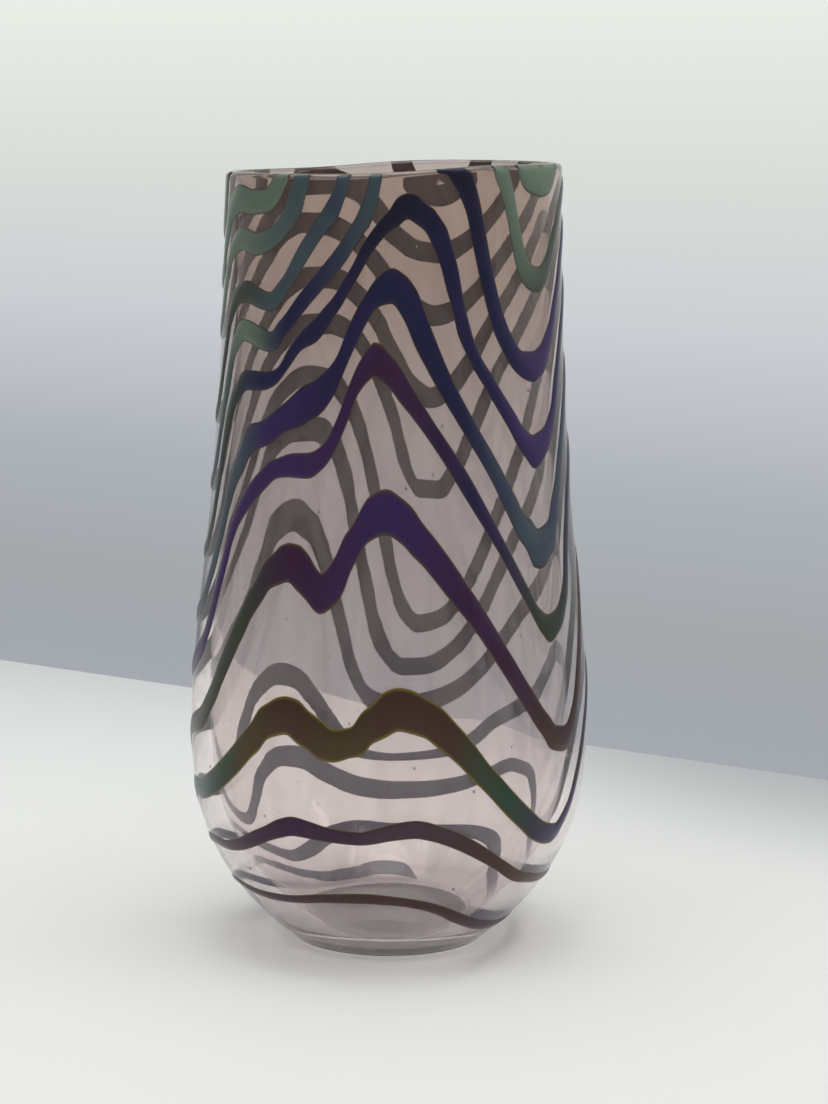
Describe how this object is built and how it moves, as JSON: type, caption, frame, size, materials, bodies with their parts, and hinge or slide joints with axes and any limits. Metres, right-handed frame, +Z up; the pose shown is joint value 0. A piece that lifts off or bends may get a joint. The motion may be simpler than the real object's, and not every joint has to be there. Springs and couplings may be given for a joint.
{
  "type": "vase",
  "caption": "Tall hand blown vase of pale amethyst glass with a round belly and a wide oval mouth, wrapped in a thin dark lustre trail combed into waves.",
  "frame": {"origin": "centre of the flat ground foot, on the surface that the vase stands on", "axes": "+Z up along the vase, from the foot to the mouth; -Y to the front, +X to the right, along the wide way of the oval mouth"},
  "size_m": [0.1311, 0.1313, 0.2528],
  "materials": {
    "amethyst_glass": "clear pale amethyst blown glass, fire polished, ground flat under the foot",
    "lustre_navy": "opaque dark glass with a silky blue lustre",
    "lustre_purple": "opaque dark glass with a silky purple lustre",
    "lustre_gold": "opaque dark glass with a lustre that turns from green to gold and brown",
    "lustre_brown": "opaque brown glass with a soft mauve lustre",
    "lustre_green": "opaque dark glass with a silvery green lustre"
  },
  "bodies": {
    "root": {"vase_body": "amethyst_glass", "trail_turn_1": "lustre_brown", "trail_turn_2": "lustre_brown", "trail_turn_3": "lustre_gold", "trail_turn_4": "lustre_purple", "trail_turn_5": "lustre_purple", "trail_turn_6": "lustre_navy", "trail_turn_7": "lustre_navy", "trail_turn_8": "lustre_navy", "trail_arc_lower": "lustre_navy", "trail_arc_middle": "lustre_green", "trail_arc_upper": "lustre_green", "trail_patch_front": "lustre_green", "trail_patch_back": "lustre_green", "trail_patch_left": "lustre_green"}
  },
  "joints": []
}
